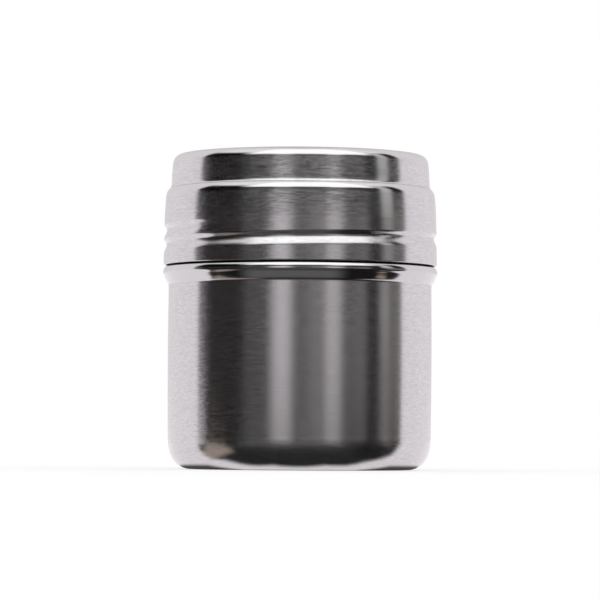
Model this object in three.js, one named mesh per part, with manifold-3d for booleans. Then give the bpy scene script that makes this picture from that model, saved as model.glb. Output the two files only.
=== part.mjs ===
// A restaurant spice shaker in brushed steel: a drawn cup, a lid that screws down over the
// cup's neck, and a dial cap that turns on the lid to close it or to open its fine or coarse
// holes. Lengths are in millimetres, +Z is up, and the origin is the centre of the base.
import * as THREE from 'three';
import { mergeVertices } from 'three/addons/utils/BufferGeometryUtils.js';
import Module from 'manifold-3d';

// Sheet and clearances.
const sheetWall = 0.6;
const partingGap = 0.4;
const dialGap = 0.4;
const dialEdgeGap = 0.1;
const pinGap = 0.3;
const slotGap = 0.3;
const seatGap = 0.05;
const threadClearance = 0.4;
const cutOverrun = 1;

// Cup: the wall, its foot, and the swollen shoulder that the lid closes against.
const cupRadius = 38.6;
const cupTaper = 0.15;
const bodyHeight = 53.5;
const footCornerRadius = 7.6;
const footRingWidth = 6;
const footRecess = 0.8;
const shoulderSwell = 1.5;
const shoulderHeight = 5.6;
const shoulderEdgeRadius = 1.1;
// Outline of the shoulder below its rounded edge, in shares of its swell and its height.
const shoulderShares = [[0, 0.1], [0.15, 0.25], [0.4, 0.37], [0.8, 0.56]];

// Neck of the cup, inside the lid.
const neckHeight = 21.2;
const neckLipWidth = 1.4;
const neckLipRadius = 0.9;
const neckBeadDepth = 0.8;
const neckBeadSweepDegrees = 430;

// Rolled thread, right-handed.
const threadPitch = 4.26;
const threadWidth = 3;
const threadFadeDegrees = 40;
const threadStartDegrees = 90;

// Lid: skirt, shoulder, ledge, collar and perforated deck.
const lidInset = 0.1;
const lidBandTaper = 0.65;
const lidShoulderRadius = 2.6;
const lidGrooveDepth = 0.78;
const lidGrooveRise = 4.95;
const lidGrooveSweepDegrees = 510;
const collarHeight = 8.4;

// Silicone ring between the neck's lip and the underside of the ledge.
const gasketThickness = 1.5;
const gasketWidth = 2.4;

// Dial cap over the collar and the deck.
const dialInset = 2.15;
const dialTaper = 0.4;
const dialTopRadius = 2.4;
const dialFlareWidth = 0.15;
const dialFlareHeight = 0.8;

// Holes: each field is a fan of rows that widens outwards. The dial has as many positions as
// fields fit between two of the deck's: closed, fine and coarse.
const fieldCount = 3;
const dialPositions = 3;
const fieldRowCount = 4;
const fieldInnerMargin = 2.5;
const fieldOuterMargin = 1.95;
const rowWeb = 1;
const holeWeb = 1.2;
const deckHoleMargin = 0.2;
const fineHoleShare = 0.55;

// Pivot through the middle of the dial and the deck.
const pivotShankRadius = 2.4;
const pivotHeadRadius = 4.4;
const pivotHeadHeight = 0.9;
const pivotHeadSink = 0.15;
const pivotTailRadius = 3.6;
const pivotTailHeight = 0.8;
const pivotRecessMargin = 1.2;
const glideWasherThickness = 0.5;
const glideWasherRadius = 5;
const waveWasherHeight = 1;
const waveWasherSheet = 0.3;
const waveWasherRadius = 5.6;
const waveCount = 3;
const backingWasherThickness = 0.8;
const backingWasherRadius = 5.6;

// Stop stud under the dial, in a curved slot of the deck.
const studRadius = 1.2;
const studLength = 1.6;
const slotMargin = 0.7;

// How finely the round surfaces are cut.
const roundSegments = 40;
const smallSegments = 24;
const holeSegments = 8;
const arcSteps = 3;
const threadRowsPerTurn = 5;

// Heights and radii that follow from the sizes above.
const dialStep = (2 * Math.PI) / fieldCount / dialPositions;
const dialTurn = dialStep * (dialPositions - 1);
const cupFootRadius = cupRadius - cupTaper;
const shoulderRadius = cupRadius + shoulderSwell;
const lidRadius = shoulderRadius - lidInset;
const dialRadius = lidRadius - dialInset;
const neckBase = bodyHeight + shoulderHeight;
const neckTop = neckBase + neckHeight;
const neckRadius = lidRadius - sheetWall - threadClearance - neckBeadDepth;
const lidBottom = neckBase + partingGap;
const ledgeUnderside = neckTop + gasketThickness + 2 * seatGap;
const ledgeTop = ledgeUnderside + sheetWall;
const deckTop = ledgeTop + collarHeight;
const dialUnderside = deckTop + dialGap;
const dialTop = dialUnderside + sheetWall;
const dialBottom = ledgeTop + dialEdgeGap;
const dialTopSideRadius = dialRadius - dialTaper;
const collarRadius = dialTopSideRadius - sheetWall - dialGap;
const collarTopRadius = dialTopRadius - sheetWall - dialGap;
const bandTopRadius = lidRadius - lidBandTaper;
const pivotRecessRadius = pivotHeadRadius + pivotRecessMargin;
const deckRecessRadius = pivotRecessRadius + sheetWall + dialGap;
const dialRecessTop = dialTop - pivotHeadSink - pivotHeadHeight - seatGap;
const dialRecessUnderside = dialRecessTop - sheetWall;
const deckRecessTop = dialRecessUnderside - glideWasherThickness - 2 * seatGap;
const deckRecessUnderside = deckRecessTop - sheetWall;
const waveWasherTop = deckRecessUnderside - seatGap;
const backingWasherTop = waveWasherTop - waveWasherHeight - seatGap;
const backingWasherUnderside = backingWasherTop - backingWasherThickness;
const pinHoleRadius = pivotShankRadius + pinGap;
const slotHalfWidth = studRadius + slotGap;
const studOrbit = deckRecessRadius + sheetWall + slotMargin + slotHalfWidth;
const fieldInnerRadius = studOrbit + slotHalfWidth + fieldInnerMargin;
const fieldOuterRadius = dialTopSideRadius - dialTopRadius - fieldOuterMargin;
const rowSpacing = (fieldOuterRadius - fieldInnerRadius + rowWeb) / fieldRowCount;
const deckHoleRadius = (rowSpacing - rowWeb) / 2;
const coarseHoleRadius = deckHoleRadius - deckHoleMargin;
const fineHoleRadius = coarseHoleRadius * fineHoleShare;
const firstRowRadius = fieldInnerRadius + deckHoleRadius;
const holeSpacing = 2 * deckHoleRadius + holeWeb;

const lidThread = {
  start: THREE.MathUtils.degToRad(threadStartDegrees),
  sweep: THREE.MathUtils.degToRad(lidGrooveSweepDegrees),
  base: lidBottom + lidGrooveRise,
  depth: -lidGrooveDepth,
};
const neckThread = {
  start: THREE.MathUtils.degToRad(threadStartDegrees),
  sweep: THREE.MathUtils.degToRad(neckBeadSweepDegrees),
  base: lidBottom + lidGrooveRise + threadPitch / 2,
  depth: neckBeadDepth,
};

const wasm = await Module();
wasm.setup();

// Points of an arc in the outline's plane, from one angle to another in degrees.
function arc(centreR, centreZ, radius, fromDegrees, toDegrees, steps = arcSteps) {
  const points = [];
  for (let step = 0; step <= steps; step += 1) {
    const degrees = fromDegrees + ((toDegrees - fromDegrees) * step) / steps;
    const angle = THREE.MathUtils.degToRad(degrees);
    points.push([centreR + radius * Math.cos(angle), centreZ + radius * Math.sin(angle)]);
  }
  return points;
}

// Level rows of an upright wall, from under a thread to above it, close enough to shape it.
function threadRows(thread, radius) {
  const low = thread.base - threadWidth / 2;
  const high = thread.base + (threadPitch * thread.sweep) / (2 * Math.PI) + threadWidth / 2;
  const count = Math.ceil(((high - low) / threadPitch) * threadRowsPerTurn);
  const points = [];
  for (let row = 0; row <= count; row += 1) {
    points.push([radius, low + ((high - low) * row) / count]);
  }
  return points;
}

// How far the rolled thread pushes the sheet out at one angle and height.
function threadOffset(thread, angle, height) {
  const fade = THREE.MathUtils.degToRad(threadFadeDegrees);
  let offset = 0;
  const first = (((angle - thread.start) % (2 * Math.PI)) + 2 * Math.PI) % (2 * Math.PI);
  for (let along = first; along <= thread.sweep; along += 2 * Math.PI) {
    const above = height - thread.base - (threadPitch * along) / (2 * Math.PI);
    if (Math.abs(above) < threadWidth / 2) {
      const end = Math.min(along, thread.sweep - along, fade) / fade;
      offset += thread.depth * end * Math.cos((Math.PI * above) / threadWidth) ** 2;
    }
  }
  return offset;
}

// The same outline moved sideways by the sheet's thickness, to the left of its direction.
function sheetBack(outline, thickness) {
  return outline.map((point, index) => {
    const before = outline[Math.max(index - 1, 0)];
    const after = outline[Math.min(index + 1, outline.length - 1)];
    const arriving = new THREE.Vector2(point[0] - before[0], point[1] - before[1]);
    const leaving = new THREE.Vector2(after[0] - point[0], after[1] - point[1]);
    if (index === 0) arriving.copy(leaving);
    if (index === outline.length - 1) leaving.copy(arriving);
    arriving.normalize();
    leaving.normalize();
    const normal = new THREE.Vector2(-arriving.y - leaving.y, arriving.x + leaving.x);
    const mitre = 2 / normal.lengthSq();
    return [
      point[0] + normal.x * mitre * thickness,
      point[1] + normal.y * mitre * thickness,
    ];
  });
}

// Turns an outline of radius and height points about Z. The outline starts and ends on the
// axis, or is closed here.
function revolve(outline, segments = roundSegments) {
  const points = outline.map(([radius, height]) => new THREE.Vector2(radius, height));
  if (outline[0][0] > 0) points.push(points[0].clone());
  const geometry = new THREE.LatheGeometry(points, segments);
  geometry.rotateX(Math.PI / 2);
  return closed(geometry);
}

// A drawn sheet: the outline of its outer face, and its inner face behind it.
function drawnSheet(outline) {
  return revolve([...outline, ...sheetBack(outline, sheetWall).reverse()]);
}

// Merges the shared vertices, so that the surface is one closed body.
function closed(geometry) {
  const bare = geometry.clone();
  bare.deleteAttribute('normal');
  bare.deleteAttribute('uv');
  return mergeVertices(bare);
}

function solidOf(geometry) {
  const body = closed(geometry);
  const solid = new wasm.Manifold(new wasm.Mesh({
    numProp: 3,
    vertProperties: new Float32Array(body.attributes.position.array),
    triVerts: new Uint32Array(body.index.array),
  }));
  return solid;
}

function geometryOf(solid) {
  const mesh = solid.getMesh();
  const geometry = new THREE.BufferGeometry();
  geometry.setAttribute('position', new THREE.BufferAttribute(mesh.vertProperties, mesh.numProp));
  geometry.setIndex(new THREE.BufferAttribute(mesh.triVerts, 1));
  return geometry;
}

function cutAll(geometry, cutters) {
  let solid = solidOf(geometry);
  for (const cutter of cutters) solid = solid.subtract(solidOf(cutter));
  return geometryOf(solid);
}

// Rolls a thread into both faces of the sheet that stands at the thread's heights.
function rollThread(geometry, thread) {
  const position = geometry.attributes.position;
  for (let index = 0; index < position.count; index += 1) {
    const x = position.getX(index);
    const y = position.getY(index);
    const offset = threadOffset(thread, Math.atan2(y, x), position.getZ(index));
    if (offset !== 0) {
      const share = 1 + offset / Math.hypot(x, y);
      position.setXY(index, x * share, y * share);
    }
  }
  return geometry;
}

// Centres of the holes of one fan-shaped field, as radius and angle pairs.
function fanPlaces(middleAngle) {
  const places = [];
  for (let row = 0; row < fieldRowCount; row += 1) {
    const radius = firstRowRadius + row * rowSpacing;
    const step = holeSpacing / radius;
    for (let hole = 0; hole <= row; hole += 1) {
      places.push([radius, middleAngle + (hole - row / 2) * step]);
    }
  }
  return places;
}

// Upright drills for fields repeated evenly round the axis, each turned by the same angle.
function fieldDrills(turn, holeRadius, low, high) {
  const drills = [];
  for (let field = 0; field < fieldCount; field += 1) {
    const middle = turn + (2 * Math.PI * field) / fieldCount;
    for (const [radius, angle] of fanPlaces(middle)) {
      const drill = uprightPin(holeRadius, low, high, holeSegments);
      drill.translate(radius * Math.cos(angle), radius * Math.sin(angle), 0);
      drills.push(drill);
    }
  }
  return drills;
}

function uprightPin(radius, low, high, segments) {
  const pin = new THREE.CylinderGeometry(radius, radius, high - low, segments);
  pin.rotateX(Math.PI / 2);
  pin.translate(0, 0, (low + high) / 2);
  return pin;
}

// Cutter for the curved slot that the stop stud runs in, from its rest to the dial's far end.
function slotCutter(low, high) {
  const shape = new THREE.Shape();
  const farX = studOrbit * Math.cos(dialTurn);
  const farY = studOrbit * Math.sin(dialTurn);
  shape.absarc(0, 0, studOrbit + slotHalfWidth, 0, dialTurn, false);
  shape.absarc(farX, farY, slotHalfWidth, dialTurn, dialTurn + Math.PI, false);
  shape.absarc(0, 0, studOrbit - slotHalfWidth, dialTurn, 0, true);
  shape.absarc(studOrbit, 0, slotHalfWidth, Math.PI, 2 * Math.PI, false);
  const cutter = new THREE.ExtrudeGeometry(shape, {
    depth: high - low,
    bevelEnabled: false,
    curveSegments: holeSegments,
  });
  cutter.translate(0, 0, low);
  return cutter;
}

// Foot ring round a raised middle, rounded corner, wall, swollen shoulder, threaded neck, lip.
function makeCup() {
  const footRingOuter = cupFootRadius - footCornerRadius;
  const footRingInner = footRingOuter - footRingWidth;
  const shoulder = shoulderShares.map(([out, up]) => [
    cupRadius + (shoulderRadius - cupRadius) * out,
    bodyHeight + shoulderHeight * up,
  ]);
  const outline = [
    [0, footRecess],
    [footRingInner - footRecess, footRecess],
    [footRingInner, 0],
    ...arc(footRingOuter, footCornerRadius, footCornerRadius, -90, 0, 2 * arcSteps),
    ...shoulder,
    ...arc(shoulderRadius - shoulderEdgeRadius, neckBase - shoulderEdgeRadius,
      shoulderEdgeRadius, 0, 90),
    [neckRadius, neckBase],
    ...threadRows(neckThread, neckRadius),
    ...arc(neckRadius - neckLipRadius, neckTop - neckLipRadius, neckLipRadius, 0, 90, 2),
    [neckRadius - neckLipWidth, neckTop],
  ];
  return rollThread(drawnSheet(outline), neckThread);
}

// Threaded skirt, band, ledge, collar and deck in one sheet, with its hole fields and slot.
function makeLidShell() {
  const outline = [
    [lidRadius, lidBottom],
    ...threadRows(lidThread, lidRadius),
    ...arc(bandTopRadius - lidShoulderRadius, ledgeTop - lidShoulderRadius,
      lidShoulderRadius, 0, 90),
    [collarRadius, ledgeTop],
    ...arc(collarRadius - collarTopRadius, deckTop - collarTopRadius, collarTopRadius, 0, 90),
    [deckRecessRadius, deckTop],
    [deckRecessRadius, deckRecessTop],
    [pinHoleRadius, deckRecessTop],
  ];
  const shell = rollThread(drawnSheet(outline), lidThread);
  const low = deckTop - sheetWall - cutOverrun;
  const high = deckTop + cutOverrun;
  const drills = fieldDrills(dialTurn, deckHoleRadius, low, high);
  return cutAll(shell, [...drills, slotCutter(low, high)]);
}

// Shallow cap with a finger-high side, its recess for the pivot, and two sets of holes.
function makeDialCap() {
  const outline = [
    [dialRadius + dialFlareWidth, dialBottom],
    [dialRadius, dialBottom + dialFlareHeight],
    ...arc(dialTopSideRadius - dialTopRadius, dialTop - dialTopRadius, dialTopRadius, 0, 90),
    [pivotRecessRadius, dialTop],
    [pivotRecessRadius, dialRecessTop],
    [pinHoleRadius, dialRecessTop],
  ];
  const low = dialUnderside - cutOverrun;
  const high = dialTop + cutOverrun;
  return cutAll(drawnSheet(outline), [
    ...fieldDrills(0, coarseHoleRadius, low, high),
    ...fieldDrills(dialStep, fineHoleRadius, low, high),
  ]);
}

// Rivet with a low domed head in the dial's recess, and a flat tail under the washers.
function makePivotRivet() {
  const tailTop = backingWasherUnderside - seatGap;
  const headBase = dialRecessTop + seatGap;
  const headTop = headBase + pivotHeadHeight;
  return revolve([
    [0, tailTop - pivotTailHeight],
    [pivotTailRadius, tailTop - pivotTailHeight],
    [pivotTailRadius, tailTop],
    [pivotShankRadius, tailTop],
    [pivotShankRadius, headBase],
    [pivotHeadRadius, headBase],
    [pivotHeadRadius, headBase + pivotHeadHeight / 2],
    [pivotHeadRadius - pivotHeadHeight, headTop],
    [0, headTop],
  ], smallSegments);
}

function flatWasher(outerRadius, low, high) {
  return revolve([
    [pinHoleRadius, low],
    [outerRadius, low],
    [outerRadius, high],
    [pinHoleRadius, high],
  ], smallSegments);
}

// Spring washer whose sheet rises and falls in waves round the pivot.
function makeWaveWasher() {
  const middle = waveWasherTop - waveWasherHeight / 2;
  const swing = (waveWasherHeight - waveWasherSheet) / 2;
  const washer = flatWasher(waveWasherRadius, middle - waveWasherSheet / 2,
    middle + waveWasherSheet / 2);
  const position = washer.attributes.position;
  for (let index = 0; index < position.count; index += 1) {
    const angle = Math.atan2(position.getY(index), position.getX(index));
    position.setZ(index, position.getZ(index) + swing * Math.cos(waveCount * angle));
  }
  return washer;
}

// Ring under the ledge, rounded on its outer side to lie in the lid's bend.
function makeGasket() {
  const low = neckTop + seatGap;
  const bend = arc(bandTopRadius - lidShoulderRadius, low, gasketThickness, 0, 90);
  const inner = bend[0][0] - gasketWidth;
  return revolve([[inner, low], ...bend, [inner, low + gasketThickness]]);
}

function makeStopStud() {
  const stud = uprightPin(studRadius, dialUnderside - studLength, dialUnderside, smallSegments / 2);
  stud.translate(studOrbit, 0, 0);
  return closed(stud);
}

const steel = { color: 0xb9b7b8, metalness: 1, roughness: 0.32 };
const plainSteel = { color: 0xa9a8a8, metalness: 1, roughness: 0.45 };
const silicone = { color: 0xd8d6d0, metalness: 0, roughness: 0.6 };
const nylon = { color: 0xe9e7e0, metalness: 0, roughness: 0.5 };

const shaker = new THREE.Group();

function addPiece(name, geometry, finish) {
  const piece = new THREE.Mesh(geometry, new THREE.MeshStandardMaterial(finish));
  piece.name = name;
  shaker.add(piece);
}

addPiece('cup', makeCup(), steel);
addPiece('lid_gasket', makeGasket(), silicone);
addPiece('lid_shell', makeLidShell(), steel);
addPiece('dial_cap', makeDialCap(), steel);
addPiece('pivot_rivet', makePivotRivet(), plainSteel);
addPiece('glide_washer',
  flatWasher(glideWasherRadius, deckRecessTop + seatGap,
    deckRecessTop + seatGap + glideWasherThickness), nylon);
addPiece('wave_washer', makeWaveWasher(), plainSteel);
addPiece('backing_washer',
  flatWasher(backingWasherRadius, backingWasherUnderside, backingWasherTop), plainSteel);
addPiece('stop_stud', makeStopStud(), plainSteel);

export default shaker;
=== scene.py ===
# Brushed steel spice shaker: cup, screw lid, dial cap and the small parts of its pivot,
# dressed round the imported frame. Outlines are in millimetres, meshes in metres.
import math

import bmesh
import bpy
from mathutils import Euler, Matrix, Vector, geometry


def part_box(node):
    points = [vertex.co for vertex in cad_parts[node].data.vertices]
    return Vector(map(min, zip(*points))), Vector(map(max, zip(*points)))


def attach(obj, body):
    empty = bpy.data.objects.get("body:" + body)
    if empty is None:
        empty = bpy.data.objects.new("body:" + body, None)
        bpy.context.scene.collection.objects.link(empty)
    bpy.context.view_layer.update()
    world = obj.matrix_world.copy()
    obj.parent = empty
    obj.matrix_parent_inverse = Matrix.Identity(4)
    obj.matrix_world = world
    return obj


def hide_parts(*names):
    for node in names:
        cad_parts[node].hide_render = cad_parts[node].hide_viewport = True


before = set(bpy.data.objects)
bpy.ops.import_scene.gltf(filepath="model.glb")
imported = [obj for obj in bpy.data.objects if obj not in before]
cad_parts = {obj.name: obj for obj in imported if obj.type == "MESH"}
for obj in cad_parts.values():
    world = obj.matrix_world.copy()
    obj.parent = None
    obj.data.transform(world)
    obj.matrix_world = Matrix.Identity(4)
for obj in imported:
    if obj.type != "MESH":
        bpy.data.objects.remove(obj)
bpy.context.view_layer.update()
scene = bpy.context.scene

mm = 0.001
sheetWall = 0.6
roundSegments = 180     # round the big pieces
smallSegments = 96      # round the pivot's pieces
holeSegments = 32
holeEdgeSteps = 3       # rows over the rounded edge of a hole
bendStep = 7            # degrees of a bend between two rows
curveSteps = 6          # rows between two points of a curve
longestRow = 1.5        # the most that two rows of an outline lie apart
threadRow = 0.24        # how far apart the rows of a rolled thread lie
sameRow = 0.001         # rows of two outlines that lie nearer than this are one
sameVertex = 2e-6       # metres within which points of a mesh are joined
tiny = 1e-6             # a length that counts as nothing
uprightNormal = 0.99    # a row whose normal reaches out this far is part of an upright wall

# Heights and radii that the frame gives.
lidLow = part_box("lid_shell")[0].z / mm
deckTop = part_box("lid_shell")[1].z / mm
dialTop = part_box("dial_cap")[1].z / mm

# Rolled threads, with how far each reaches above and below its middle line.
threadShape = {"pitch": 4.26, "fade": math.radians(40), "start": math.radians(90)}
lidGroove = {"base": lidLow + 4.95, "sweep": math.radians(510), "depth": -0.78, "above": 1.5, "below": 2.8}
neckBead = {"base": lidLow + 7.08, "sweep": math.radians(430), "depth": 0.8, "above": 1.5, "below": 1.5}
dialStep = math.radians(40)


# A row of an outline is (radius, height, normal's radius, normal's height). The normal lies
# to the right of the way the outline runs, which is out of the piece.
def rowAt(point, heading):
    heading = heading.normalized()
    return (point.x, point.y, heading.y, -heading.x)


# Outline through corners (radius, height, bend radius).
def bentLine(corners):
    points = [Vector(corner[:2]) for corner in corners]
    rows = [rowAt(points[0], points[1] - points[0])]
    for index in range(1, len(corners) - 1):
        here, bend = points[index], corners[index][2]
        arriving = (here - points[index - 1]).normalized()
        leaving = (points[index + 1] - here).normalized()
        turn = math.atan2(arriving.cross(leaving), arriving.dot(leaving))
        reach = bend * math.tan(abs(turn) / 2)
        side = Vector((-arriving.y, arriving.x)) * math.copysign(1, turn)
        centre = here - arriving * reach + side * bend
        steps = max(2, math.ceil(abs(math.degrees(turn)) / bendStep))
        for step in range(steps + 1):
            angle = turn * step / steps
            swing = Matrix(((math.cos(angle), -math.sin(angle)), (math.sin(angle), math.cos(angle))))
            rows.append(rowAt(centre - swing @ (side * bend), swing @ arriving))
    rows.append(rowAt(points[-1], points[-1] - points[-2]))
    return rows


# Closed outline through corners (radius, height, bend radius).
def bentLoop(corners):
    first, second = Vector(corners[0][:2]), Vector(corners[1][:2])
    middle = (*((first + second) / 2), 0)
    return bentLine([middle, *corners[1:], corners[0], middle])[:-1]


# Smooth outline through points (radius, height), as even a curve as they allow.
def curveLine(points, steps=curveSteps):
    points = [Vector(point) for point in points]
    ends = [2 * points[0] - points[1], *points, 2 * points[-1] - points[-2]]
    rows = []
    for index in range(1, len(ends) - 2):
        a, b, c, d = ends[index - 1:index + 3]
        for step in range(steps + (index == len(ends) - 3)):
            t = step / steps
            place = 0.5 * (2 * b + (c - a) * t + (2 * a - 5 * b + 4 * c - d) * t * t
                           + (3 * b - a - 3 * c + d) * t ** 3)
            slope = 0.5 * ((c - a) + 2 * (2 * a - 5 * b + 4 * c - d) * t
                           + 3 * (3 * b - a - 3 * c + d) * t * t)
            rows.append(rowAt(place, slope))
    return rows


# Arc about a centre, from one angle to another in degrees, counter-clockwise. It is an oval
# where its reach up differs from its reach out, and squarer where its fullness is over 2.
def arcLine(centreR, centreZ, out, fromDegrees, toDegrees, up=None, fullness=2):
    up = up or out
    steps = max(2, math.ceil((toDegrees - fromDegrees) / bendStep))
    rows = []
    for step in range(steps + 1):
        angle = math.radians(fromDegrees + (toDegrees - fromDegrees) * step / steps)
        c, s = math.cos(angle), math.sin(angle)
        r, z = (math.copysign(abs(part) ** (2 / fullness), part) for part in (c, s))
        nr, nz = (math.copysign(abs(part) ** (2 - 2 / fullness), part) for part in (c, s))
        size = math.hypot(up * nr, out * nz)
        rows.append((centreR + out * r, centreZ + up * z, up * nr / size, out * nz / size))
    return rows


# Joins outlines end to end, without the rows that they share.
def joined(*parts):
    rows = list(parts[0])
    for part in parts[1:]:
        gap = math.dist(rows[-1][:2], part[0][:2])
        rows += part[1:] if gap < sameRow else part
    return rows


# The same outline with more rows where two of them lie further apart than the length given.
def refined(rows, length=longestRow):
    dense = [rows[0]]
    for before, after in zip(rows, rows[1:]):
        count = max(1, math.ceil(math.dist(before[:2], after[:2]) / length))
        for step in range(1, count + 1):
            share = step / count
            r, z, nr, nz = (x + (y - x) * share for x, y in zip(before, after))
            size = math.hypot(nr, nz) or 1
            dense.append((r, z, nr / size, nz / size))
    return dense


# The back of a sheet whose front is the outline given, running the other way.
def sheetBack(rows, wall=sheetWall):
    return [(r - nr * wall, z - nz * wall, -nr, -nz) for r, z, nr, nz in reversed(rows)]


# Half round that closes the sheet's edge after an outline's last row.
def sheetEdge(rows, wall=sheetWall):
    r, z, nr, nz = rows[-1]
    facing = math.degrees(math.atan2(nz, nr))
    return arcLine(r - nr * wall / 2, z - nz * wall / 2, wall / 2, facing, facing + 180)[1:-1]


# How far the rolled thread pushes the sheet out at one angle and height.
def threadOffset(thread, angle, height):
    offset = 0
    along = (angle - threadShape["start"]) % (2 * math.pi)
    while along <= thread["sweep"]:
        rise = height - thread["base"] - threadShape["pitch"] * along / (2 * math.pi)
        reach = thread["above"] if rise > 0 else thread["below"]
        if abs(rise) < reach:
            end = min(along, thread["sweep"] - along, threadShape["fade"]) / threadShape["fade"]
            end = end * end * (3 - 2 * end)
            offset += thread["depth"] * end * math.cos(math.pi * rise / reach / 2) ** 2
        along += 2 * math.pi
    return offset


# Straight rows through a thread's heights, between two radii.
def threadLine(thread, lowRadius, highRadius):
    low = thread["base"] - thread["below"]
    high = thread["base"] + threadShape["pitch"] * thread["sweep"] / (2 * math.pi) + thread["above"]
    count = math.ceil((high - low) / threadRow)
    return [(lowRadius + (highRadius - lowRadius) * row / count, low + (high - low) * row / count, 1, 0)
            for row in range(count + 1)]


class Turning:
    # Mesh under way: points in metres, each with the normal that it is shaded with.
    def __init__(self, segments=roundSegments):
        self.mesh = bmesh.new()
        self.facing = self.mesh.verts.layers.float_vector.new("facing")
        self.segments = segments

    def point(self, x, y, z, facing=(0, 0, 0)):
        vertex = self.mesh.verts.new((x * mm, y * mm, z * mm))
        vertex[self.facing] = facing
        return vertex

    def ring(self, row, thread=None):
        r, z, nr, nz = row
        if r < tiny:
            return [self.point(0, 0, z, (0, 0, nz))]
        ring = []
        for index in range(self.segments):
            angle = 2 * math.pi * index / self.segments
            c, s = math.cos(angle), math.sin(angle)
            rolled = threadOffset(thread, angle, z) if thread else 0
            facing = (0, 0, 0) if rolled else (nr * c, nr * s, nz)
            ring.append(self.point((r + rolled) * c, (r + rolled) * s, z, facing))
        return ring

    def skin(self, lower, upper):
        count = max(len(lower), len(upper))
        for index in range(count):
            after = (index + 1) % count
            corners = [lower[index % len(lower)], lower[after % len(lower)],
                       upper[after % len(upper)], upper[index % len(upper)]]
            self.mesh.faces.new(list(dict.fromkeys(corners)))

    # Turns an outline about Z. The thread is rolled into the rows of the upright wall.
    def turn(self, rows, thread=None, closed=False):
        rings = [self.ring(row, thread if thread and abs(row[2]) > uprightNormal else None) for row in rows]
        for lower, upper in zip(rings, rings[1:] + rings[:1] if closed else rings[1:]):
            self.skin(lower, upper)

    # Flat ring between two radii, cut by holes. Each hole is a function of how far its edge
    # is set back, which gives a loop of points.
    def plate(self, z, facing, outerRadius, innerRadius, holes, setBack):
        loops = [[(radius * math.cos(a), radius * math.sin(a))
                  for a in (2 * math.pi * i / self.segments for i in range(self.segments))]
                 for radius in (outerRadius, innerRadius)]
        loops += [hole(setBack) for hole in holes]
        points, edges = [], []
        for loop in loops:
            start = len(points)
            points += [Vector(point) for point in loop]
            edges += [(start + i, start + (i + 1) % len(loop)) for i in range(len(loop))]
        flat, _, triangles = geometry.delaunay_2d_cdt(points, edges, [], 0, tiny)[:3]
        vertices = [self.point(p.x, p.y, z, (0, 0, facing)) for p in flat]
        used = set()
        for triangle in triangles:
            middle = sum((flat[i] for i in triangle), Vector((0, 0))) / 3
            if middle.length < innerRadius or any(holds(loop, middle) for loop in loops[2:]):
                continue
            order = triangle if facing > 0 else list(reversed(triangle))
            self.mesh.faces.new([vertices[i] for i in order])
            used.update(triangle)
        for index, vertex in enumerate(vertices):
            if index not in used:
                self.mesh.verts.remove(vertex)

    # Walls of the holes between the two faces of a sheet, with both edges rounded.
    def holeWalls(self, high, low, holes, setBack, steps=holeEdgeSteps):
        levels = []
        for step in range(steps + 1):
            angle = math.radians(90 * step / steps)
            levels.append((setBack * (1 - math.sin(angle)), setBack * (1 - math.cos(angle))))
        rows = [(back, high - down) for back, down in levels]
        rows += [(back, low + down) for back, down in reversed(levels)]
        for hole in holes:
            rings = []
            for index, (back, z) in enumerate(rows):
                facing = (0, 0, 1) if index == 0 else (0, 0, -1) if index == len(rows) - 1 else (0, 0, 0)
                rings.append([self.point(x, y, z, facing) for x, y in hole(back)])
            for upper, lower in zip(rings, rings[1:]):
                self.skin(lower, upper)

    # Perforated top of one sheet: the recess round the pivot's pin, both faces of the flat
    # ring outside it, and the walls of the holes.
    def perforatedTop(self, sheet, top, flatOuter, holes):
        recess = pivotRecess(sheet, top)
        self.turn(recess + sheetEdge(recess) + sheetBack(recess))
        self.plate(top, 1, flatOuter, sheet["flatInner"], holes, sheet["edge"])
        self.plate(top - sheetWall, -1, flatOuter, sheet["flatInner"], holes, sheet["edge"])
        self.holeWalls(top, top - sheetWall, holes, sheet["edge"])

    # Makes the object, replaces its CAD node and puts it on the body.
    def finish(self, name, node, body, slot, material):
        bmesh.ops.remove_doubles(self.mesh, verts=self.mesh.verts, dist=sameVertex)
        bmesh.ops.recalc_face_normals(self.mesh, faces=self.mesh.faces)
        data = bpy.data.meshes.new(name)
        self.mesh.to_mesh(data)
        self.mesh.free()
        facings = [Vector(item.vector) for item in data.attributes["facing"].data]
        data.attributes.remove(data.attributes["facing"])
        data.shade_smooth()
        data.normals_split_custom_set_from_vertices(facings)
        data.materials.append(material)
        piece = bpy.data.objects.new(name, data)
        scene.collection.objects.link(piece)
        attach(piece, body)
        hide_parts(node)
        print(f"{name}: {len(data.polygons)} faces")
        return piece


# Whether a loop of points goes round a point.
def holds(loop, point):
    inside = False
    for (x1, y1), (x2, y2) in zip(loop, loop[1:] + loop[:1]):
        if (y1 > point.y) != (y2 > point.y):
            if point.x < (x2 - x1) * (point.y - y1) / (y2 - y1) + x1:
                inside = not inside
    return inside


def roundHole(radius, angle, holeRadius):
    x, y = radius * math.cos(angle), radius * math.sin(angle)
    spokes = [2 * math.pi * i / holeSegments for i in range(holeSegments)]
    return lambda back: [(x + (holeRadius + back) * math.cos(a), y + (holeRadius + back) * math.sin(a))
                         for a in spokes]


# Front of the recess round the pivot's pin, from the flat top to the edge of the pin's hole.
def pivotRecess(sheet, top):
    return refined(bentLine([
        (sheet["flatInner"], top, 0), (sheet["recessRadius"], top, sheet["recessBend"]),
        (sheet["recessRadius"], sheet["recessTop"], sheet["pinBend"]),
        (sheet["pinHole"] + sheetWall / 2, sheet["recessTop"], 0)]))


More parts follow.
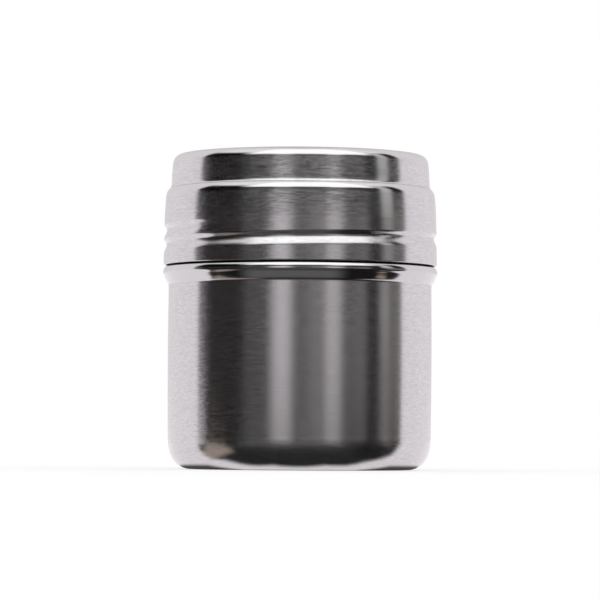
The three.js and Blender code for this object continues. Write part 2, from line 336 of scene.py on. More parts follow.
# Fan-shaped fields of holes, repeated evenly round the axis.
def fanHoles(turn, holeRadius):
    holes = []
    for field in range(fans["count"]):
        for row in range(fans["rows"]):
            radius = fans["firstRadius"] + row * fans["rowSpacing"]
            for hole in range(row + 1):
                middle = turn + 2 * math.pi * field / fans["count"]
                angle = middle + (hole - row / 2) * fans["holeSpacing"] / radius
                holes.append(roundHole(radius, angle, holeRadius))
    return holes


# Curved slot for the stop stud, from its rest to the dial's far end.
def studSlot(back):
    orbit, half = deck["studOrbit"], deck["slotHalfWidth"] + back
    turn, sweepSteps, endSteps = 2 * dialStep, deck["sweepSteps"], deck["endSteps"]
    sweep = [turn * i / sweepSteps for i in range(sweepSteps + 1)]
    ends = [math.pi * i / endSteps for i in range(1, endSteps)]
    farX, farY = orbit * math.cos(turn), orbit * math.sin(turn)
    loop = [((orbit + half) * math.cos(a), (orbit + half) * math.sin(a)) for a in sweep]
    loop += [(farX + half * math.cos(turn + a), farY + half * math.sin(turn + a)) for a in ends]
    loop += [((orbit - half) * math.cos(a), (orbit - half) * math.sin(a)) for a in reversed(sweep)]
    loop += [(orbit + half * math.cos(math.pi + a), half * math.sin(math.pi + a)) for a in ends]
    return loop


# New material with its nodes and its main shader.
def nodeTree(name):
    material = bpy.data.materials.new(name)
    material.use_nodes = True
    return material, material.node_tree, material.node_tree.nodes["Principled BSDF"]


def addNode(tree, kind, inputs=None, **settings):
    node = tree.nodes.new(kind)
    for key, value in settings.items():
        setattr(node, key, value)
    for key, value in (inputs or {}).items():
        if isinstance(value, bpy.types.NodeSocket):
            tree.links.new(value, node.inputs[key])
        else:
            node.inputs[key].default_value = value
    return node


def maths(tree, operation, *values):
    return addNode(tree, "ShaderNodeMath", dict(enumerate(values)), operation=operation).outputs[0]


def ramp(tree, value, low, high, fromLow=0.0, fromHigh=1.0, smooth=False):
    inputs = {"Value": value, "From Min": fromLow, "From Max": fromHigh, "To Min": low, "To Max": high}
    kind = "SMOOTHSTEP" if smooth else "LINEAR"
    return addNode(tree, "ShaderNodeMapRange", inputs, interpolation_type=kind).outputs[0]


def vectorMaths(tree, operation, *values):
    inputs = dict(enumerate(values))
    return addNode(tree, "ShaderNodeVectorMath", inputs, operation=operation).outputs[0]


# Distance of a place from the axis.
def reachOf(tree, place):
    flat = vectorMaths(tree, "MULTIPLY", place, (1, 1, 0))
    return addNode(tree, "ShaderNodeVectorMath", {0: flat}, operation="LENGTH").outputs["Value"]


# Vector that runs slowly round the axis and fast across, so that noise on it turns into the
# short level scratches of brushing.
def brushedVector(tree, roundScale, acrossScale):
    place = addNode(tree, "ShaderNodeTexCoord").outputs["Object"]
    spoke = vectorMaths(tree, "NORMALIZE", vectorMaths(tree, "MULTIPLY", place, (1, 1, 0)))
    around = vectorMaths(tree, "MULTIPLY", spoke, (roundScale, roundScale, 0))
    height = addNode(tree, "ShaderNodeSeparateXYZ", {0: place}).outputs["Z"]
    rise = maths(tree, "MULTIPLY", maths(tree, "ADD", height, reachOf(tree, place)), acrossScale)
    lift = addNode(tree, "ShaderNodeCombineXYZ", {"Z": rise}).outputs[0]
    return vectorMaths(tree, "ADD", around, lift)


def noise(tree, vector, scale=1.0, detail=2.0):
    inputs = {"Vector": vector, "Scale": scale, "Detail": detail, "Roughness": 0.5}
    return addNode(tree, "ShaderNodeTexNoise", inputs).outputs["Fac"]


# Steel brushed round the axis. Each layer of scratches has its scale round the axis, its scale
# across, and how much it shows.
brushing = {
    "colour": (0.62, 0.61, 0.615), "roughness": 0.21, "polishedRoughness": 0.13, "roughnessSwing": 0.08,
    "anisotropy": 0.77, "acrossTurn": 0.25,
    "layers": [(26, 4600, 0.7), (12, 2300, 0.7), (3, 700, 0.2)],
    "polishedLoss": 0.85, "shade": 0.25, "tilt": 0.035,
}


# The scratches, from below 0 in their valleys to above 0 on their crests.
def brushedGrain(tree, polish):
    layers = []
    for roundScale, acrossScale, strength in brushing["layers"]:
        layer = noise(tree, brushedVector(tree, roundScale, acrossScale))
        layers.append(maths(tree, "MULTIPLY", maths(tree, "SUBTRACT", layer, 0.5), strength * 2))
    grain = maths(tree, "ADD", maths(tree, "ADD", layers[0], layers[1]), layers[2])
    rough = maths(tree, "SUBTRACT", 1.0, maths(tree, "MULTIPLY", polish, brushing["polishedLoss"]))
    return maths(tree, "MULTIPLY", grain, rough)


# Normal that the scratches tilt across their own run only, as they are cut round the axis.
def brushedNormal(tree, tangent, grain):
    facing = addNode(tree, "ShaderNodeNewGeometry").outputs["Normal"]
    across = vectorMaths(tree, "CROSS_PRODUCT", tangent, facing)
    tilt = maths(tree, "MULTIPLY", grain, brushing["tilt"])
    return vectorMaths(tree, "NORMALIZE", vectorMaths(tree, "MULTIPLY_ADD", across, tilt, facing))


def brushedSteel():
    material, tree, shader = nodeTree("brushedSteel")
    polish = addNode(tree, "ShaderNodeAttribute", attribute_name="polish").outputs["Fac"]
    grain = brushedGrain(tree, polish)
    shade = maths(tree, "MULTIPLY_ADD", grain, brushing["shade"], 1.0)
    tree.links.new(vectorMaths(tree, "MULTIPLY", brushing["colour"], shade), shader.inputs["Base Color"])
    even = ramp(tree, polish, brushing["roughness"], brushing["polishedRoughness"])
    spread = maths(tree, "MULTIPLY_ADD", grain, brushing["roughnessSwing"], even)
    tree.links.new(spread, shader.inputs["Roughness"])
    shader.inputs["Metallic"].default_value = 1
    shader.inputs["Anisotropic"].default_value = brushing["anisotropy"]
    shader.inputs["Anisotropic Rotation"].default_value = brushing["acrossTurn"]
    tangent = addNode(tree, "ShaderNodeTangent", direction_type="RADIAL", axis="Z").outputs[0]
    tree.links.new(tangent, shader.inputs["Tangent"])
    tree.links.new(brushedNormal(tree, tangent, grain), shader.inputs["Normal"])
    return material


# Steel tumbled to an even satin, for the small parts of the pivot.
satin = {
    "colour": (0.55, 0.55, 0.56), "roughness": 0.36, "roughnessSwing": 0.06,
    "pitting": 2200, "pittingDetail": 3.0, "pittingShade": (0.9, 1.1),
    "pitDepth": 0.00002, "pitStrength": 0.3, "clouds": 160, "cloudShade": (-0.08, 0.08),
}


def satinSteel():
    material, tree, shader = nodeTree("satinSteel")
    place = addNode(tree, "ShaderNodeTexCoord").outputs["Object"]
    pitting = noise(tree, place, satin["pitting"], satin["pittingDetail"])
    clouds = noise(tree, place, satin["clouds"])
    shade = maths(tree, "ADD", ramp(tree, pitting, *satin["pittingShade"]),
                  ramp(tree, clouds, *satin["cloudShade"]))
    tree.links.new(vectorMaths(tree, "MULTIPLY", satin["colour"], shade), shader.inputs["Base Color"])
    shader.inputs["Metallic"].default_value = 1
    rough = ramp(tree, clouds, satin["roughness"] - satin["roughnessSwing"],
                 satin["roughness"] + satin["roughnessSwing"])
    tree.links.new(rough, shader.inputs["Roughness"])
    bump = addNode(tree, "ShaderNodeBump", {"Height": pitting, "Strength": satin["pitStrength"],
                                            "Distance": satin["pitDepth"]})
    tree.links.new(bump.outputs[0], shader.inputs["Normal"])
    return material


# Silicone and nylon, each with its own grain and the finish that both share.
softPieces = {
    "milkySilicone": {"colour": (0.8, 0.79, 0.76), "roughness": 0.58, "grain": 900, "mottle": 90},
    "naturalNylon": {"colour": (0.86, 0.85, 0.81), "roughness": 0.45, "grain": 2500, "mottle": 250},
}
softFinish = {
    "mottleDetail": 3.0, "mottleShade": (0.93, 1.05), "smoother": 0.05, "rougher": 0.07,
    "subsurface": 0.15, "subsurfaceScale": 0.001, "grainStrength": 0.25, "grainDepth": 0.00003,
}


def mouldedPlastic(name):
    values = softPieces[name]
    material, tree, shader = nodeTree(name)
    place = addNode(tree, "ShaderNodeTexCoord").outputs["Object"]
    mottle = noise(tree, place, values["mottle"], softFinish["mottleDetail"])
    grain = noise(tree, place, values["grain"])
    shade = ramp(tree, mottle, *softFinish["mottleShade"])
    tree.links.new(vectorMaths(tree, "MULTIPLY", values["colour"], shade), shader.inputs["Base Color"])
    rough = ramp(tree, grain, values["roughness"] - softFinish["smoother"],
                 values["roughness"] + softFinish["rougher"])
    tree.links.new(rough, shader.inputs["Roughness"])
    shader.inputs["Subsurface Weight"].default_value = softFinish["subsurface"]
    shader.inputs["Subsurface Scale"].default_value = softFinish["subsurfaceScale"]
    bump = addNode(tree, "ShaderNodeBump", {"Height": grain, "Strength": softFinish["grainStrength"],
                                            "Distance": softFinish["grainDepth"]})
    tree.links.new(bump.outputs[0], shader.inputs["Normal"])
    return material


# How polished each point of a piece is: 0 where it is brushed, 1 on its rolled edge, which
# lies between two heights. The finish changes over the length of the blend.
def setPolish(piece, low, high, blend):
    layer = piece.data.attributes.new("polish", "FLOAT", "POINT")
    for vertex, item in zip(piece.data.vertices, layer.data):
        z = vertex.co.z / mm
        above, below = (min(1, max(0, depth / blend + 0.5)) for depth in (z - low, high - z))
        item.value = above * below


brushedSteelMaterial = brushedSteel()
satinSteelMaterial = satinSteel()
print("materials: steel")

# Cup.
cup = {
    "footRecess": 0.8, "recessRadius": 24.05, "ringRadius": 24.85, "footBend": 1,
    "cornerCentre": (30.95, 9.2), "cornerOut": 7.45, "cornerFullness": 2.4,
    "wall": [(38.4, 9.2), (38.45, 14.0), (38.51, 22.0), (38.55, 31.0), (38.53, 41.0), (38.46, 49.0),
             (38.44, 53.6)],
    "shoulder": [(38.44, 53.6), (38.47, 53.95), (38.6, 54.18), (38.78, 54.38), (38.95, 54.68),
                 (39.2, 55.2), (39.45, 55.8), (39.66, 56.32), (39.85, 56.66), (40.01, 56.92),
                 (40.08, 57.2), (40.1, 57.5)],
    "shoulderBend": (0.9, 1.6), "shoulderTop": 59.1, "neckRadius": 38.2, "neckTop": 80.3,
    "neckBend": 0.5, "lipBend": 0.9, "lipInner": 36.8, "polished": (54.4, 62, 1.2),
}


def makeCup():
    neck = threadLine(neckBead, cup["neckRadius"], cup["neckRadius"])
    shoulderRadius, (bendOut, bendUp) = cup["shoulder"][-1][0], cup["shoulderBend"]
    front = joined(
        bentLine([(0, cup["footRecess"], 0), (cup["recessRadius"], cup["footRecess"], cup["footBend"]),
                  (cup["ringRadius"], 0, cup["footBend"]), (cup["cornerCentre"][0], 0, 0)]),
        arcLine(*cup["cornerCentre"], cup["cornerOut"], -90, 0, up=cup["cornerCentre"][1],
                fullness=cup["cornerFullness"]),
        curveLine(cup["wall"]),
        curveLine(cup["shoulder"]),
        arcLine(shoulderRadius - bendOut, cup["shoulderTop"] - bendUp, bendOut, 0, 90, up=bendUp),
        bentLine([(shoulderRadius - bendOut, cup["shoulderTop"], 0),
                  (cup["neckRadius"], cup["shoulderTop"], cup["neckBend"]), (*neck[0][:2], 0)]),
        neck,
        bentLine([(*neck[-1][:2], 0), (cup["neckRadius"], cup["neckTop"], cup["lipBend"]),
                  (cup["lipInner"] + sheetWall / 2, cup["neckTop"], 0)]),
    )
    front = refined(front)
    work = Turning()
    work.turn(front + sheetEdge(front) + sheetBack(front), neckBead)
    piece = work.finish("cupShell", "cup", "cup", "brushed_shell", brushedSteelMaterial)
    setPolish(piece, *cup["polished"])


makeCup()

# Lid, and the fans of holes that its deck shares with the dial.
fans = {"count": 3, "rows": 4, "firstRadius": 15.4875, "rowSpacing": 5.175, "holeSpacing": 5.375}
lid = {
    "radius": 39.96, "threadTop": 39.78,
    "band": [(39.78, 72.0), (39.74, 73.4), (39.66, 75.4), (39.56, 77.1), (39.45, 78.6), (39.37, 79.5),
             (39.293, 80.12)],
    "shoulderCentre": (36.75, 79.5), "shoulderOut": 2.6, "shoulderStart": 12, "ledgeTop": 82.5,
    "collarRadius": 36.45, "collarFootBend": 0.3, "collarBend": 1.4, "polished": (79.6, 84, 1.0),
}
deck = {
    "flatInner": 7.4, "recessRadius": 6.6, "recessTop": 89.6, "recessBend": 0.8, "pinHole": 2.7,
    "pinBend": 0.3, "holeRadius": 2.0875, "edge": 0.15,
    "studOrbit": 9.4, "slotHalfWidth": 1.5, "sweepSteps": 40, "endSteps": 20,
}


def makeLid():
    skirt = threadLine(lidGroove, lid["radius"], lid["threadTop"])
    collar, flatOuter = lid["collarRadius"], lid["collarRadius"] - lid["collarBend"]
    outer = joined(
        bentLine([(lid["radius"], lidLow + sheetWall / 2, 0), (*skirt[0][:2], 0)]),
        skirt,
        bentLine([(*skirt[-1][:2], 0), (*lid["band"][0], 0)]),
        curveLine(lid["band"]),
        arcLine(*lid["shoulderCentre"], lid["shoulderOut"], lid["shoulderStart"], 90,
                up=lid["ledgeTop"] - lid["shoulderCentre"][1]),
        bentLine([(lid["shoulderCentre"][0], lid["ledgeTop"], 0),
                  (collar, lid["ledgeTop"], lid["collarFootBend"]),
                  (collar, deckTop, lid["collarBend"]), (flatOuter, deckTop, 0)]),
    )
    outer = refined(outer)
    inner = sheetBack(outer)
    work = Turning()
    work.turn(inner + sheetEdge(inner) + outer, lidGroove)
    holes = fanHoles(2 * dialStep, deck["holeRadius"]) + [studSlot]
    work.perforatedTop(deck, deckTop, flatOuter, holes)
    piece = work.finish("lidShell", "lid_shell", "lid", "brushed_shell", brushedSteelMaterial)
    setPolish(piece, *lid["polished"])


makeLid()

# Dial cap. Its foot flares out and is cut to follow the lid's ledge.
dial = {
    "side": [(38.16, 82.055), (38.07, 82.19), (37.97, 82.36), (37.89, 82.64), (37.83, 83.05),
             (37.78, 83.6), (37.745, 84.2), (37.72, 84.8), (37.66, 86.2), (37.56, 87.6), (37.45, 88.95)],
    "footInner": [(37.4, 82.62), (37.7, 82.4), (38.06, 82.12)], "footGap": 0.05,
    "bendOut": 2.4, "bendUp": 3.0, "bendStart": 5, "flatOuter": 35.05, "flatInner": 6.4,
    "recessRadius": 5.6, "recessTop": 90.8, "recessBend": 0.8, "pinHole": 2.7, "pinBend": 0.25,
    "coarseRadius": 1.8875, "fineRadius": 1.038, "edge": 0.15, "polished": (89.4, 91.7, 0.8),
}


def makeDial():
    outer = refined(joined(
        curveLine(dial["side"]),
        arcLine(dial["flatOuter"], dialTop - dial["bendUp"], dial["bendOut"], dial["bendStart"], 90,
                up=dial["bendUp"])))
    inner = [row for row in sheetBack(outer) if row[1] > dial["footInner"][0][1] + dial["footGap"]]
    foot = [(*point, 0, 0) for point in dial["footInner"]]
    work = Turning()
    work.turn(inner + foot + outer)
    holes = fanHoles(0, dial["coarseRadius"]) + fanHoles(dialStep, dial["fineRadius"])
    work.perforatedTop(dial, dialTop, dial["flatOuter"], holes)
    piece = work.finish("dialShell", "dial_cap", "dial", "brushed_shell", brushedSteelMaterial)
    setPolish(piece, *dial["polished"])


makeDial()

# Pivot: rivet, washers and the dial's stop stud.
rivet = {
    "shank": 2.4, "shankBend": 0.15, "tailRadius": 3.6, "tailLow": 86.25, "tailTop": 87.05,
    "tailLowBend": 0.3, "tailTopBend": 0.2, "headRadius": 4.4, "headBase": 90.85, "headBend": 0.12,
    "headTop": 91.13, "dome": [(4.36, 91.18), (4.2, 91.36), (3.6, 91.56), (2.3, 91.71), (0.0, 91.75)],
}
washers = {
    "hole": 2.7, "bend": 0.1, "glideRadius": 5.0, "glideLow": 89.65, "glideHigh": 90.15,
    "backingRadius": 5.6, "backingLow": 87.1, "backingHigh": 87.9,
}
wave = {"radius": 5.6, "middle": 88.45, "sheet": 0.3, "bend": 0.08, "swing": 0.35, "count": 3}
stud = {"radius": 1.2, "low": 89.7, "high": 91.3, "lowBend": 0.2, "highBend": 0.1}


def makeRivet():
    tail, shank, head = rivet["tailRadius"], rivet["shank"], rivet["headRadius"]
    rows = joined(
        bentLine([(0, rivet["tailLow"], 0), (tail, rivet["tailLow"], rivet["tailLowBend"]),
                  (tail, rivet["tailTop"], rivet["tailTopBend"]),
                  (shank, rivet["tailTop"], rivet["shankBend"]),
                  (shank, rivet["headBase"], rivet["shankBend"]),
                  (head, rivet["headBase"], rivet["headBend"]), (head, rivet["headTop"], 0)]),
        curveLine(rivet["dome"]))
    rows[-1] = (0, rivet["dome"][-1][1], 0, 1)
    work = Turning(smallSegments)
    work.turn(refined(rows))
    work.finish("pivotRivet", "pivot_rivet", "dial", "plain_steel", satinSteelMaterial)


# Flat ring round the rivet's shank.
def washerRing(outer, low, high, bend):
    hole = washers["hole"]
    corners = [(hole, low, bend), (outer, low, bend), (outer, high, bend), (hole, high, bend)]
    work = Turning(smallSegments)
    work.turn(refined(bentLoop(corners)), closed=True)
    return work


def makeGlideWasher():
    work = washerRing(washers["glideRadius"], washers["glideLow"], washers["glideHigh"], washers["bend"])
    work.finish("glideWasher", "glide_washer", "lid", "nylon", mouldedPlastic("naturalNylon"))


def makeWaveWasher():
    low = wave["middle"] - wave["sheet"] / 2
    work = washerRing(wave["radius"], low, low + wave["sheet"], wave["bend"])
    for vertex in work.mesh.verts:
        angle = math.atan2(vertex.co.y, vertex.co.x)
        vertex.co.z += wave["swing"] * math.cos(wave["count"] * angle) * mm
        vertex[work.facing] = (0, 0, 0)
    work.finish("waveWasher", "wave_washer", "lid", "plain_steel", satinSteelMaterial)


def makeBackingWasher():
    work = washerRing(washers["backingRadius"], washers["backingLow"], washers["backingHigh"],
                      washers["bend"])
    work.finish("backingWasher", "backing_washer", "lid", "plain_steel", satinSteelMaterial)


def makeStud():
    work = Turning(smallSegments // 2)
    work.turn(refined(bentLine([
        (0, stud["low"], 0), (stud["radius"], stud["low"], stud["lowBend"]),
        (stud["radius"], stud["high"], stud["highBend"]), (0, stud["high"], 0)])))
    bmesh.ops.translate(work.mesh, verts=work.mesh.verts, vec=(deck["studOrbit"] * mm, 0, 0))
    work.finish("stopStud", "stop_stud", "dial", "plain_steel", satinSteelMaterial)


makeRivet()
makeGlideWasher()
makeWaveWasher()
makeBackingWasher()
makeStud()

# Silicone ring under the lid's ledge.
gasket = {"inner": 35.85, "outer": 38.25, "low": 80.35, "high": 81.85,
          "innerBend": 0.15, "outerLowBend": 0.12, "outerHighBend": 1.35}


def makeGasket():
    work = Turning()
    work.turn(refined(bentLoop([
        (gasket["inner"], gasket["low"], gasket["innerBend"]),
        (gasket["outer"], gasket["low"], gasket["outerLowBend"]),
        (gasket["outer"], gasket["high"], gasket["outerHighBend"]),
        (gasket["inner"], gasket["high"], gasket["innerBend"])])), closed=True)
    work.finish("lidGasket", "lid_gasket", "gasket", "silicone", mouldedPlastic("milkySilicone"))


makeGasket()

# Studio: a white cove behind and beside the shaker, and a dim room on the camera's side with
# soft boxes over it. Azimuths are in degrees from the camera's side, positive to its right.
studio = {
    "coveLevel": 0.96, "coveAzimuth": 99.5, "coveBlend": 5, "coveColour": (1.035, 0.99, 1.03),
    "backLevel": 0.76, "backAzimuth": 152, "backBlend": 44,
    "roomLevel": 0.032, "roomColour": (1.12, 0.97, 0.97),
    "floorSize": 3.0, "floorCells": 24, "floorShadow": 0.4, "mirroredShadow": 0.15,
}
white = (1, 1, 1)
neutral, warm = (1.03, 0.985, 1.02), (1.06, 0.98, 0.95)
# Soft-edged reflectors in the room.
reflectors = [
    {"azimuth": -96, "half": 5, "blend": 8, "level": 0.18, "colour": neutral},
    {"azimuth": -37, "half": 12, "blend": 10, "level": 0.10, "colour": neutral},
    {"azimuth": -15.5, "half": 8, "blend": 12, "level": 1.0, "colour": neutral},
    {"azimuth": 16, "half": 44, "blend": 8, "level": 0.2, "colour": neutral},
    {"azimuth": 20, "half": 12, "blend": 14, "level": 0.19, "colour": neutral},
    {"azimuth": 29, "half": 7, "blend": 9, "level": 0.64, "colour": neutral},
    {"azimuth": 54, "half": 5, "blend": 6, "level": 0.05, "colour": warm},
    {"azimuth": 88, "half": 12.5, "blend": 6, "level": 0.24, "colour": warm},
    {"azimuth": 106, "half": 7, "blend": 6, "level": 0.14, "colour": neutral},
]
# Soft boxes above them, each from a low edge upwards, and an even light straight above.
softBoxes = [
    {"azimuth": -16, "half": 9, "blend": 12, "low": 23.5, "lowBlend": 5.5, "level": 1.65},
    {"azimuth": 33, "half": 9, "blend": 12, "low": 23.5, "lowBlend": 5.5, "level": 1.65},
    {"azimuth": 10, "half": 62, "blend": 18, "low": 27.5, "lowBlend": 9, "level": 1.65},
    {"azimuth": 0, "half": 200, "blend": 10, "low": 40, "lowBlend": 12, "level": 1.15},
    {"azimuth": 79, "half": 6, "blend": 5, "low": 5, "lowBlend": 3, "level": 0.65},
]
overhead = {"low": 78, "blend": 12, "level": 1.0}
# How bright the room is by elevation: a dimmer floor side, then the reflectors' own height.
roomByElevation = [(-1, 0.45), (2.5, 1.0), (4, 0.9), (6.5, 0.55), (9, 0.14), (13, 0.02)]
# Painted shade in the floor as the steel mirrors it: the shaker's shadow in front of it, then a
# painted band of light, then the dim room. How bright it is by its distance from the axis in
# metres, over these azimuths, and where it turns into the room.
floorPaintedShade = {
    "byReach": [(0.034, 0.018), (0.06, 0.012), (0.075, 0.08), (0.09, 0.14), (0.12, 0.12), (0.2, 0.0)],
    "azimuth": -6, "half": 38, "blend": 18, "least": 0.01, "room": (0.2, 0.8), "roomShare": 0.7,
}
# The front edge of the floor that the steel mirrors white, by the place across. Before it lies the painted
# shade of the shaker's shadow.
whiteEdge = {
    "line": [(-3.0, 0.5), (-1.0, 0.14), (-0.35, -0.01), (-0.2, -0.036), (-0.14, -0.027), (-0.108, -0.026),
             (-0.085, -0.014), (-0.035, -0.0245), (-0.029, -0.0262), (-0.0235, -0.0301),
             (-0.0141, -0.0323), (-0.0077, -0.0346), (0.0077, -0.0347), (0.0141, -0.0325),
             (0.0203, -0.0314), (0.0285, -0.0282), (0.035, -0.026), (0.06, -0.022), (0.1, -0.012),
             (0.2, 0.0), (0.35, 0.03), (1.0, 0.14), (3.0, 0.5)],
    "blend": 0.035,
}
# Painted strips of light before that edge, each with its middle and its half length across.
paintedLightStrips = {
    "line": [(-0.1, -0.034), (-0.07, -0.037), (-0.05, -0.035), (-0.035, -0.0315), (-0.028, -0.0295),
             (0.05, -0.029), (0.1, -0.04)],
    "half": 0.009, "blend": 0.006, "level": 0.36, "colour": (1.14, 0.96, 0.84),
    "spans": [(-0.066, 0.0385), (0.101, 0.012)],
}
# Painted shadow on the mirrored floor under the shaker's foot, which reaches further out at its sides.
shadowUnderShaker = {"reach": (0.0312, 0.0335), "level": 0.08, "sideAzimuth": (28, 50), "sideReach": 0.003}


# Step from one level to another, softened over the blend round its middle.
def softStep(tree, value, low, high, middle, blend):
    return ramp(tree, value, low, high, middle - blend / 2, middle + blend / 2, smooth=True)


def window(tree, value, middle, half, blend):
    distance = maths(tree, "ABSOLUTE", maths(tree, "SUBTRACT", value, middle))
    return softStep(tree, distance, 1.0, 0.0, half, blend)


# Level that follows a value through the points given.
def steppedLevel(tree, value, points):
    level = points[0][1]
    for (before, low), (after, high) in zip(points, points[1:]):
        level = maths(tree, "ADD", level, ramp(tree, value, 0.0, high - low, before, after))
    return level


def mixed(tree, share, first, second):
    return addNode(tree, "ShaderNodeMix", {0: share, 4: first, 5: second}, data_type="VECTOR").outputs[1]


def azimuthOf(tree, axes):
    towardsCamera = maths(tree, "MULTIPLY", axes["Y"], -1.0)
    return maths(tree, "DEGREES", maths(tree, "ARCTAN2", axes["X"], towardsCamera))


# What the dim side of the room mirrors in one direction round the shaker.
def roomColour(tree, azimuth):
    total = vectorMaths(tree, "MULTIPLY", studio["roomColour"], [studio["roomLevel"]] * 3)
    for card in reflectors:
        shown = window(tree, azimuth, card["azimuth"], card["half"], card["blend"])
        level = maths(tree, "MULTIPLY", shown, card["level"])
        total = vectorMaths(tree, "MULTIPLY_ADD", card["colour"], level, total)
    return total


def softBoxLevel(tree, azimuth, elevation):
    level = 0.0
    for box in softBoxes:
        across = window(tree, azimuth, box["azimuth"], box["half"], box["blend"])
        rising = softStep(tree, elevation, 0.0, box["level"], box["low"], box["lowBlend"])
        level = maths(tree, "MAXIMUM", level, maths(tree, "MULTIPLY", across, rising))
    above = softStep(tree, elevation, 0.0, 1.0, overhead["low"], overhead["blend"])
    return addNode(tree, "ShaderNodeMix", {0: above, 2: level, 3: overhead["level"]},
                   data_type="FLOAT").outputs[0]


def makeWorld():
    world = bpy.data.worlds.new("studio")
    scene.world = world
    world.use_nodes = True
    world.cycles.sampling_method = "NONE"
    tree = world.node_tree
    direction = addNode(tree, "ShaderNodeTexCoord").outputs["Generated"]
    axes = addNode(tree, "ShaderNodeSeparateXYZ", {0: direction}).outputs
    azimuth = azimuthOf(tree, axes)
    elevation = maths(tree, "DEGREES", maths(tree, "ARCSINE", axes["Z"]))
    aside = maths(tree, "ABSOLUTE", azimuth)
    room = vectorMaths(tree, "MULTIPLY", roomColour(tree, azimuth),
                       steppedLevel(tree, elevation, roomByElevation))
    front = vectorMaths(tree, "MAXIMUM", room, softBoxLevel(tree, azimuth, elevation))
    back = softStep(tree, aside, studio["coveLevel"], studio["backLevel"], studio["backAzimuth"],
                    studio["backBlend"])
    cove = softStep(tree, aside, 0.0, 1.0, studio["coveAzimuth"], studio["coveBlend"])
    painted = mixed(tree, cove, front, vectorMaths(tree, "MULTIPLY", studio["coveColour"], back))
    rays = addNode(tree, "ShaderNodeLightPath").outputs
    plain = maths(tree, "MAXIMUM", rays["Is Camera Ray"], rays["Is Diffuse Ray"])
    tree.links.new(mixed(tree, plain, painted, white), tree.nodes["Background"].inputs["Color"])


# Painted shade of the mirrored floor in front of the shaker, with its painted band of light.
def floorPaintedShadeColour(tree, reach, azimuth):
    across = window(tree, azimuth, floorPaintedShade["azimuth"], floorPaintedShade["half"], floorPaintedShade["blend"])
    near = maths(tree, "MULTIPLY_ADD", across, steppedLevel(tree, reach, floorPaintedShade["byReach"]),
                 floorPaintedShade["least"])
    far = vectorMaths(tree, "MULTIPLY", roomColour(tree, azimuth), [floorPaintedShade["roomShare"]] * 3)
    return mixed(tree, ramp(tree, reach, 0.0, 1.0, *floorPaintedShade["room"]), near, far)


# Painted light: warm strips on the mirrored floor near the shaker's foot.
def paintedLightStripColour(tree, axes):
    before = maths(tree, "SUBTRACT", axes["Y"], steppedLevel(tree, axes["X"], paintedLightStrips["line"]))
    strip = window(tree, before, 0.0, paintedLightStrips["half"], paintedLightStrips["blend"])
    spans = [window(tree, axes["X"], middle, half, paintedLightStrips["blend"])
             for middle, half in paintedLightStrips["spans"]]
    strip = maths(tree, "MULTIPLY", strip, maths(tree, "ADD", *spans))
    return vectorMaths(tree, "MULTIPLY", paintedLightStrips["colour"],
                       maths(tree, "MULTIPLY", strip, paintedLightStrips["level"]))


# Share of white in the mirrored floor; the rest is painted shade. The edge softens with the distance from
# the axis.
def whiteShare(tree, axes, reach):
    behind = maths(tree, "SUBTRACT", axes["Y"], steppedLevel(tree, axes["X"], whiteEdge["line"]))
    soft = maths(tree, "MULTIPLY", reach, whiteEdge["blend"])
    share = maths(tree, "MULTIPLY_ADD", maths(tree, "DIVIDE", behind, soft), 0.5, 0.5)
    return ramp(tree, share, 0.0, 1.0, smooth=True)


# Painted shadow on the mirrored floor round the shaker's foot.
def paintedShadowUnderShaker(tree, reach, azimuth):
    sides = ramp(tree, maths(tree, "ABSOLUTE", azimuth), 0.0, shadowUnderShaker["sideReach"],
                 *shadowUnderShaker["sideAzimuth"])
    return ramp(tree, maths(tree, "SUBTRACT", reach, sides), shadowUnderShaker["level"], 1.0,
                *shadowUnderShaker["reach"], smooth=True)


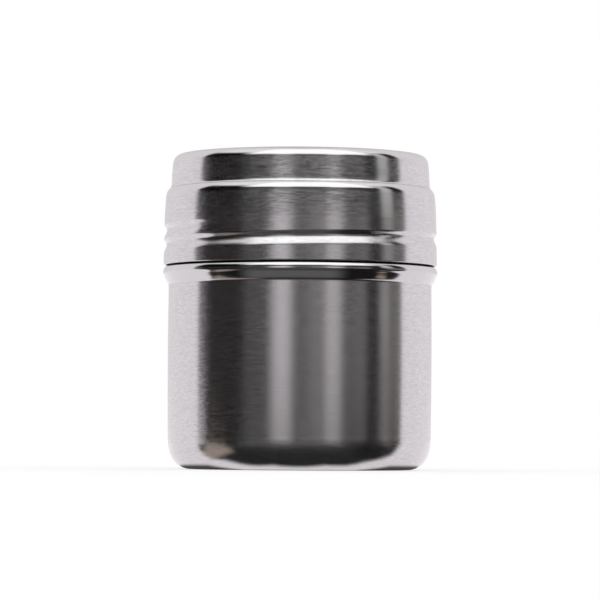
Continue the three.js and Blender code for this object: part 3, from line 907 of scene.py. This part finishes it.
# Plain white for the camera and for diffuse light, and for what the steel mirrors the studio's floor
# with painted shade and painted light on it. The share of paint takes the real shadow.
def floorPaint():
    material, tree, shader = nodeTree("floorPaint")
    tree.nodes.remove(shader)
    place = addNode(tree, "ShaderNodeTexCoord").outputs["Object"]
    axes = addNode(tree, "ShaderNodeSeparateXYZ", {0: place}).outputs
    reach, azimuth = reachOf(tree, place), azimuthOf(tree, axes)
    # Painted shade and painted light of the mirrored floor.
    dim = vectorMaths(tree, "MAXIMUM", floorPaintedShadeColour(tree, reach, azimuth), paintedLightStripColour(tree, axes))
    mirrored = mixed(tree, whiteShare(tree, axes, reach), dim, studio["coveColour"])
    mirrored = vectorMaths(tree, "MULTIPLY", mirrored, paintedShadowUnderShaker(tree, reach, azimuth))
    rays = addNode(tree, "ShaderNodeLightPath").outputs
    glossy = maths(tree, "MAXIMUM", rays["Is Glossy Ray"], rays["Is Transmission Ray"])
    shown = mixed(tree, glossy, white, mirrored)
    painted = ramp(tree, glossy, studio["floorShadow"], studio["mirroredShadow"])
    paint = addNode(tree, "ShaderNodeBsdfDiffuse", {"Color": vectorMaths(tree, "MULTIPLY", shown, painted)})
    lit = maths(tree, "SUBTRACT", 1.0, painted)
    glow = addNode(tree, "ShaderNodeEmission", {"Color": shown, "Strength": lit})
    both = addNode(tree, "ShaderNodeAddShader", {0: paint.outputs[0], 1: glow.outputs[0]})
    tree.links.new(both.outputs[0], tree.nodes["Material Output"].inputs["Surface"])
    return material


def makeFloor():
    mesh = bmesh.new()
    cells = studio["floorCells"]
    bmesh.ops.create_grid(mesh, x_segments=cells, y_segments=cells, size=studio["floorSize"])
    data = bpy.data.meshes.new("floor")
    mesh.to_mesh(data)
    mesh.free()
    data.materials.append(floorPaint())
    floor = bpy.data.objects.new("floor", data)
    scene.collection.objects.link(floor)


makeWorld()
makeFloor()
print("studio: world and floor")

# Camera, at the height of the cup's foot and tilted up a little.
shot = {"distance": 1.083, "height": 0.00892, "aimHeight": 0.0496, "roll": 0.33,
        "lens": 222.1, "sensorWidth": 36, "clipStart": 0.01}


def makeCamera():
    data = bpy.data.cameras.new("camera")
    data.lens = shot["lens"]
    data.sensor_width = shot["sensorWidth"]
    data.clip_start = shot["clipStart"]
    camera = bpy.data.objects.new("camera", data)
    scene.collection.objects.link(camera)
    camera.location = (0, -shot["distance"], shot["height"])
    pitch = math.atan2(shot["aimHeight"] - shot["height"], shot["distance"])
    tilt = Euler((math.pi / 2 + pitch, 0, 0)).to_matrix()
    roll = Matrix.Rotation(math.radians(shot["roll"]), 3, "Z")
    camera.rotation_euler = (tilt @ roll).to_euler()
    scene.camera = camera


makeCamera()
scene.view_settings.view_transform = "Standard"
